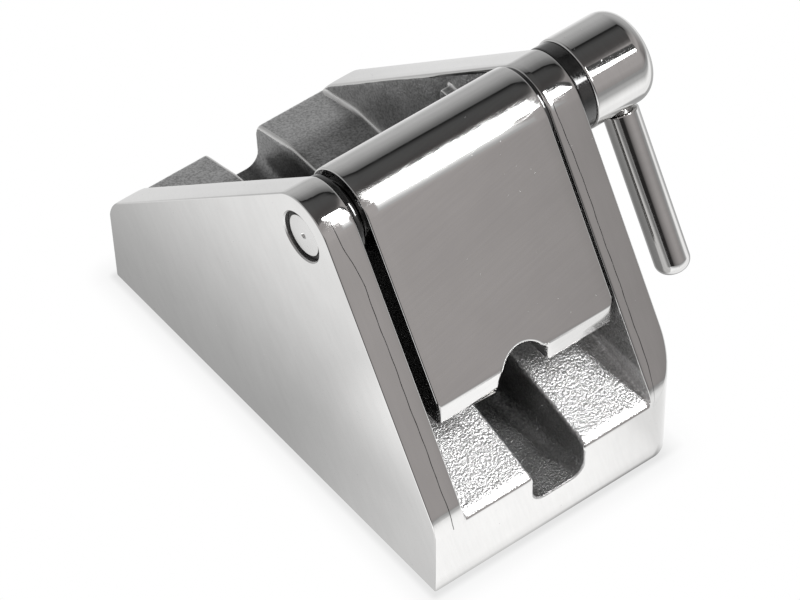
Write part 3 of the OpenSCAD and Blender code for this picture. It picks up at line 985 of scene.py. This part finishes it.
def as_cast(name):
    """Blasted, unpolished casting skin: dark hollows, brighter knobs. Brighter on the front ramps and a
    little at the rear, painted light where the flap's shadow doesn't fall; smoother at the rear and on the
    front lip; darker in the groove and in the cleft beside the flap, painted shade."""
    mat, net, shader = new_material(name)
    shader.inputs["Metallic"].default_value = 1.0
    x, y, z = net.xyz()
    wide = net.math("ABSOLUTE", x)
    # Painted light: the front ramps, out of the flap's shadow, are brightened; the end of this mask is the
    # painted edge of that shadow
    ramp = net.mul(net.step(y, -0.051, -0.036, 1.0, 0.0), net.step(z, 0.0285, 0.0300, 1.0, 0.0))
    # Painted shade: the groove, a recess, is darkened
    groove = net.mul(net.step(wide, 0.0079, 0.0084, 1.0, 0.0), net.step(z, 0.0240, 0.0265, 1.0, 0.0))
    lip = net.mul(net.step(y, -0.0645, -0.0615, 1.0, 0.0), net.sub(1.0, groove))
    before_pivot = net.mul(net.step(y, -0.020, -0.014, 1.0, 0.0), net.step(z, 0.029, 0.036))
    # Painted shade: the cleft beside the flap on the left, where shade falls, is darkened almost to black
    cleft = net.mul(net.step(x, -0.0283, -0.0279, 1.0, 0.0), before_pivot)
    rear = net.step(y, 0.004, 0.014)
    coarse = net.noise(1420.0, 2.0, EVEN, 0.5)
    fine = net.noise(3100.0, 2.0, EVEN, 0.6, 5.0)
    patch = net.noise(120.0, 3.0, EVEN, 0.55, 9.0)
    knobs = net.voronoi(1780.0).outputs["Distance"]
    height = net.sub(net.add(coarse, net.mul(fine, 0.4)), net.mul(knobs, 0.45))
    value = net.step(height, 0.20, 0.70, 0.34, 0.58)
    value = net.add(value, net.step(patch, 0.3, 0.7, -0.05, 0.05))
    # Painted light on the front ramps
    value = net.add(value, net.mul(ramp, 0.37))
    # Painted light: the bed behind the pivot is made a little brighter
    value = net.add(value, net.mul(rear, 0.06))
    # Painted shade in the groove and in the cleft
    value = net.less(net.less(value, groove, 0.48), cleft, 0.90)
    net.put(net.grey(value), shader.inputs["Base Color"])
    rough = net.sub(net.step(patch, 0.3, 0.7, 0.40, 0.48), net.mul(rear, 0.06))
    net.put(net.sub(rough, net.mul(lip, 0.16)), shader.inputs["Roughness"])
    calm = net.sub(net.sub(1.0, net.mul(rear, 0.72)), net.mul(lip, 0.55))
    net.bump(shader, net.mul(height, calm), 0.00020)
    return mat


def polymer(name, rough, specular):
    """Dark turned plastic."""
    mat, net, shader = new_material(name)
    shader.inputs["Specular IOR Level"].default_value = specular
    grain = net.noise(1.0, 3.0, (2200, 300, 300))
    patch = net.noise(400.0, 2.0, EVEN, 0.5, 4.0)
    net.put(net.grey(net.step(patch, 0.3, 0.7, 0.008, 0.018)), shader.inputs["Base Color"])
    net.put(net.step(grain, 0.3, 0.7, rough[0], rough[1]), shader.inputs["Roughness"])
    net.bump(shader, grain, 0.000006)
    return mat


MIRROR = 0.0000006
# The body's and the flap's polish are darkened towards +X, a painted shade
POLISHED = metal("polished_steel", (0.70, 0.73), (0.04, 0.055), (1100, 90, 90), MIRROR, 0.015, 420.0, 60.0,
                 turn=(0.0, 0.25, 0.35), painted_side_shade=(0.0, 0.036, 0.84))
FLAP_STEEL = metal("flap_steel", (0.70, 0.73), (0.035, 0.05), (60, 1500, 1500), MIRROR, 0.07, 420.0, 60.0,
                   turn=(0.0, 0.18, -0.108), shade=0.013, streak_z=(0.0916, 0.0926, 0.0933, 0.0937),
                   streak=0.13, painted_side_shade=(-0.012, 0.034, 0.90))
HUB_STEEL = metal("hub_steel", (0.68, 0.71), (0.04, 0.055), (1500, 90, 90), MIRROR, 0.025, 500.0, 70.0)
ROD_STEEL = metal("rod_steel", (0.66, 0.70), (0.05, 0.07), (140, 900, 900), MIRROR, 0.04, 500.0, 70.0)
TURNED = metal("turned_steel", (0.66, 0.72), (0.16, 0.24), (2600, 90, 90), 0.000006, 0.06, 600.0, 90.0)
MACHINED_STEEL = metal("machined_steel", (0.50, 0.60), (0.22, 0.32), (700, 700, 2400), 0.000010, 0.08,
                       500.0, 80.0)
WORN_EDGE = metal("worn_edge", (0.72, 0.82), (0.22, 0.34), (900, 900, 900), 0.000012, 0.08, 700.0, 200.0)
# Painted reflection: the seam faces on the cheeks' slopes are near black, standing in for a reflected dark
# edge
SEAM_PAINTED_REFLECTION = metal("seam_painted_reflection", (0.05, 0.12), (0.35, 0.50), (900, 900, 900), 0.000010, 0.08, 900.0, 400.0)
SCREW = metal("screw_steel", (0.34, 0.44), (0.26, 0.36), (1800, 1800, 1800), 0.000010, 0.08, 700.0, 90.0)
CAST_SKIN = as_cast("cast_skin")
BUSH = polymer("bush_polymer", (0.35, 0.55), 0.5)
BLACK_RING = polymer("black_ring", (0.06, 0.12), 0.9)


# ------------------------------------------------------------------ pieces
def finish_piece(obj, name, mats, body, node, sharp=35):
    obj.name = name
    for m in mats:
        obj.data.materials.append(m)
    smooth(obj, sharp)
    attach(obj, body)
    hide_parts(node)


BASE, MOVING = "base", "flap_and_lever"
BODY_MATS = [POLISHED, CAST_SKIN, MACHINED_STEEL, POLISHED, WORN_EDGE, SEAM_PAINTED_REFLECTION]
FLAP_MATS = [FLAP_STEEL, FLAP_STEEL, MACHINED_STEEL, FLAP_STEEL, WORN_EDGE]
finish_piece(make_body(), "body_casting", BODY_MATS, BASE, "body", 40)
finish_piece(make_flap(), "pawl_flap_plate", FLAP_MATS, MOVING, "pawl_flap", 40)
for node, ring in make_rings().items():
    finish_piece(ring, ring.name, [BUSH if "bush" in node else BLACK_RING], BASE, node)
finish_piece(make_shaft(), "pivot_shaft_bar", [TURNED], MOVING, "pivot_shaft")
finish_piece(make_hub(), "lever_hub_cap", [HUB_STEEL], MOVING, "lever_hub")
finish_piece(make_rod(), "lever_rod_bar", [ROD_STEEL], MOVING, "lever_rod")
finish_piece(make_stud(), "rod_stud_pin", [SCREW], MOVING, "rod_stud")
finish_piece(make_screws(), "flap_set_screw_pair", [SCREW], MOVING, "flap_set_screws")


# ------------------------------------------------------------------ studio
# Radiance of the room by elevation, behind and in front, and its factor near the floor by bearing; degrees
REAR_LIGHT = [(-2, 0.58), (8, 0.57), (13, 0.54), (18.5, 0.49), (24, 0.46), (29, 0.40), (34, 0.33), (39, 0.26),
              (44, 0.19), (48.6, 0.14), (50.0, 0.015), (52.0, 0.02), (54.5, 0.05), (59, 0.085), (75, 0.10)]
FRONT_LIGHT = [(-4, 0.38), (2, 0.42), (8, 0.47), (13, 0.52), (20, 0.52), (34, 0.46), (45, 0.36), (53, 0.38),
               (55, 0.20), (59, 0.09), (65, 0.075), (75, 0.09)]
LOW_LIGHT = [(-180, 1.0), (-110, 0.9), (-85, 0.5), (-63, 0.8), (-50, 0.35), (-46, 0.06), (-28, 0.06),
             (-22, 0.35), (-10, 0.60), (9, 0.85), (22, 0.93), (45, 0.85), (62, 0.50), (90, 0.75), (130, 1.0),
             (180, 1.0)]


def make_world():
    """A grey room round a dark ceiling."""
    world = bpy.data.worlds.new("studio")
    bpy.context.scene.world = world
    world.use_nodes = True
    net = Net(world.node_tree)
    out = net.node("OutputWorld")
    back = net.node("Background")
    x, y, z = net.xyz("Generated")
    el = net.mul(net.math("ARCSINE", z), 180 / math.pi)
    az = net.mul(net.math("ARCTAN2", x, net.mul(y, -1.0)), 180 / math.pi)
    rear = net.ramp(el, -10, 75, REAR_LIGHT)
    front = net.ramp(el, -10, 75, FRONT_LIGHT)
    level = net.ramp(az, -180, 180, LOW_LIGHT)
    behind = net.step(y, -0.25, 0.25)
    low = net.step(el, 18, 30, 1.0, 0.0)
    level = net.add(net.mul(net.sub(level, 1.0), low), 1.0)
    rear = net.mul(net.mul(rear, behind), level)
    front = net.mul(net.mul(front, net.sub(1.0, behind)), level)
    seen = net.node("LightPath").outputs["Is Camera Ray"]
    colour = net.node("CombineColor")
    for socket, warmth in zip(colour.inputs, (1.0, 0.948, 0.935)):
        light = net.add(rear, net.mul(front, warmth))
        net.put(net.math("MAXIMUM", light, seen), socket)
    net.put(colour.outputs["Color"], back.inputs["Color"])
    net.put(back.outputs[0], out.inputs["Surface"])
    world.cycles.sampling_method = "MANUAL"
    world.cycles.sample_map_resolution = 1024


def depth_inside(points, outline):
    """Distance of each point from the edge of a polygon, 0 outside it."""
    inside = np.zeros(len(points), bool)
    near = np.full(len(points), 1e9)
    for a, b in zip(outline, outline[1:] + outline[:1]):
        a, b = np.array(a, float), np.array(b, float)
        if a[1] != b[1]:
            cross = a[0] + (b[0] - a[0]) * (points[:, 1] - a[1]) / (b[1] - a[1])
            inside ^= ((a[1] > points[:, 1]) != (b[1] > points[:, 1])) & (points[:, 0] < cross)
        t = np.clip((points - a) @ (b - a) / ((b - a) @ (b - a)), 0, 1)
        near = np.minimum(near, np.linalg.norm(points - a - t[:, None] * (b - a), axis=1))
    return np.where(inside, near, 0.0)


# The softbox: bearing, height and distance of its middle from the pivot, and its cell size
BOX_TURN, BOX_RISE, BOX_AWAY, BOX_CELL = math.radians(36.7), math.radians(44.6), 450.0, 2.0
# Outlines on the softbox's plane, in mm to the right and up from its middle
BOX_MAIN = [(-95, -113), (-42, -130), (-33, -118), (-11, -64), (13, -13), (39, 38), (66, 92), (40, 108),
            (16, 126), (-6, 136), (-30, 66), (-55, 14), (-80, -40), (-70, -47)]
BOX_WEDGE = [(-22, -62), (0, -80), (48, -88), (56, -70), (42, -22), (58, 42), (30, 30)]
BOX_GLOOM = [(30, 30), (56, 42), (38, -24), (54, -68), (93, -60), (93, 120), (60, 100)]
BOX_SKIRT = [(-72, -44), (-95, -100), (-142, -245), (-58, -255), (-33, -118), (-20, -90)]
MAIN_GLOW, WEDGE_GLOW, GLOOM_GLOW = 25.0, 14.0, 0.07


def softbox_glow(points):
    """Strength of the light at each point of the softbox, 0 where it has no surface."""
    glow = MAIN_GLOW * np.clip(depth_inside(points, BOX_MAIN) / 9, 0, 1) ** 1.8
    glow = np.maximum(glow, WEDGE_GLOW * np.clip(depth_inside(points, BOX_WEDGE) / 6, 0, 1) ** 1.2)
    fall = np.interp(points[:, 1], [-250, -205, -165, -118], [0.0, 0.10, 0.44, 1.0])
    glow += fall * np.clip(depth_inside(points, BOX_SKIRT) / 10, 0, 1)
    haze = np.interp(points[:, 1], [-250, 40, 90, 130], [0.50, 0.40, 0.22, 0.10])
    dim = np.where(depth_inside(points, BOX_GLOOM) > 0, GLOOM_GLOW, 0.0)
    return np.where(glow > 0, glow + haze, dim)


def make_softbox():
    """One soft-edged bright panel in front, to the right and above, with a fainter skirt below it."""
    ahead = np.array([math.sin(BOX_TURN) * math.cos(BOX_RISE), -math.cos(BOX_TURN) * math.cos(BOX_RISE),
                      math.sin(BOX_RISE)])
    side = np.array([math.cos(BOX_TURN), math.sin(BOX_TURN), 0.0])
    up = np.cross(side, -ahead)
    middle = np.array([0.0, *PIVOT]) + BOX_AWAY * ahead
    us, vs = np.arange(-150, 95, BOX_CELL), np.arange(-255, 145, BOX_CELL)
    points = np.array([(u, v) for v in vs for u in us], float)
    glow = softbox_glow(points)
    n = len(us)
    verts = [tuple(MM * (middle + u * side + v * up)) for u, v in points]
    cells = [(i * n + j, i * n + j + 1, (i + 1) * n + j + 1, (i + 1) * n + j)
             for i in range(len(vs) - 1) for j in range(n - 1)]
    mesh = bpy.data.meshes.new("softbox")
    mesh.from_pydata(verts, [], [cell for cell in cells if min(glow[k] for k in cell) > 0])
    mesh.attributes.new("glow", "FLOAT", "POINT").data.foreach_set("value", glow)
    box = bpy.data.objects.new("softbox", mesh)
    bpy.context.scene.collection.objects.link(box)
    mat, net, lamp = new_material("softbox_glow", "Emission")
    level = net.node("Attribute", attribute_name="glow")
    net.put(level.outputs["Fac"], lamp.inputs["Strength"])
    mesh.materials.append(mat)
    box.visible_camera = False


def make_floor():
    """A white table that glows as lit paper does, its light and shade painted into its glow. The camera sees
    it white with a faint contact shade. The
    object mirrors its regions: beside it to the left and right, in front of it, behind it and far away;
    darker beside the body, a painted shadow, and brighter in front, a painted pool of light."""
    half, low = 3.0, -0.0005
    mesh = bpy.data.meshes.new("studio_floor")
    corners = [(-half, -half, low), (half, -half, low), (half, half, low), (-half, half, low)]
    mesh.from_pydata(corners, [], [(0, 1, 2, 3)])
    floor = bpy.data.objects.new("studio_floor", mesh)
    bpy.context.scene.collection.objects.link(floor)
    mat, net, glow = new_material("floor_white", "Emission")
    x, y, _ = net.xyz()

    def mix(a, b, t):
        return net.add(net.mul(a, net.sub(1.0, t)), net.mul(b, t))

    def length(a, b):
        return net.math("SQRT", net.add(net.mul(a, a), net.mul(b, b)))

    def beyond(value, edge):
        return net.math("MAXIMUM", net.sub(net.math("ABSOLUTE", value), edge * MM), 0.0)

    # Painted shadow: left of the body the floor is dark close to it and brightens away from it and towards
    # the front
    gap = net.mul(net.add(x, CHEEK_OUT * MM), -1.0)
    left = net.step(gap, -0.002, 0.050, 0.46, 1.02)
    left = net.add(left, net.step(gap, 0.055, 0.24, 0.0, -0.38))
    left = net.add(left, net.step(y, -0.060, 0.010, 0.28, 0.0))
    left = net.add(left, net.mul(net.step(gap, 0.012, 0.028), net.step(y, -0.016, 0.010, 0.25, 0.0)))
    # Painted shadow: right of the body the floor is darker close to it
    right = net.step(x, 0.037, 0.34, 0.40, 0.85)
    value = mix(left, right, net.step(x, -0.02, 0.02))
    # Painted light in front, brighter towards the body, with painted shade at the front foot
    front = net.step(y, -0.26, -0.082, 0.55, 1.27)
    front = net.sub(front, net.step(y, -0.0685, -0.0655, 0.0, 0.22))
    before = net.mul(net.step(y, -0.0665, -0.0655, 1.0, 0.0), net.step(x, -0.0400, -0.0370))
    value = mix(value, front, net.math("MAXIMUM", before, net.step(y, -0.30, -0.08, 1.0, 0.0)))
    # Painted light behind, dimmer further away
    rear = net.step(y, 0.12, 0.30, 0.82, 0.60)
    rear = net.add(rear, net.step(x, 0.04, 0.10, 0.0, 0.12))
    behind = net.mul(net.step(y, 0.060, 0.085), net.step(x, -0.036, -0.020))
    value = mix(value, rear, net.math("MAXIMUM", behind, net.step(y, 0.11, 0.15)))
    # Painted pool of light at the front right of the base
    corner = net.mul(net.step(y, -0.056, -0.040, 1.0, 0.0), net.step(x, 0.030, 0.036))
    value = mix(value, 1.12, net.mul(corner, net.step(y, -0.12, -0.075)))
    far = net.step(y, -0.2, 0.2, 0.36, 0.57)
    value = mix(value, far, net.step(length(x, y), 0.28, 0.75))
    away = length(beyond(x, CHEEK_OUT), beyond(y, REAR_Y))
    shade = net.add(net.step(away, 0.0, 0.0025, 0.14, 0.0), net.step(away, 0.0, 0.009, 0.08, 0.0))
    shade = net.mul(shade, net.step(x, 0.030, 0.039, 1.0, 0.2))
    seen = net.node("LightPath").outputs["Is Camera Ray"]
    net.put(net.grey(mix(value, net.sub(1.0, shade), seen)), glow.inputs["Color"])
    mesh.materials.append(mat)


# The camera: place in metres, pitch, roll and heading in degrees, and lens in mm for a 36 mm wide sensor
CAMERA_AT = (-0.472016, -0.626636, 0.895294)
CAMERA_DEG = (41.908723, 0.609198, -37.819475)
CAMERA_LENS = 216.164


def make_camera():
    data = bpy.data.cameras.new("camera")
    data.lens = CAMERA_LENS
    data.sensor_width = 36.0
    data.clip_start, data.clip_end = 0.05, 20.0
    cam = bpy.data.objects.new("camera", data)
    bpy.context.scene.collection.objects.link(cam)
    cam.location = CAMERA_AT
    cam.rotation_euler = [math.radians(a) for a in CAMERA_DEG]
    bpy.context.scene.camera = cam


make_world()
make_softbox()
make_floor()
make_camera()
view = bpy.context.scene.view_settings
view.view_transform = "Standard"
view.look = "None"
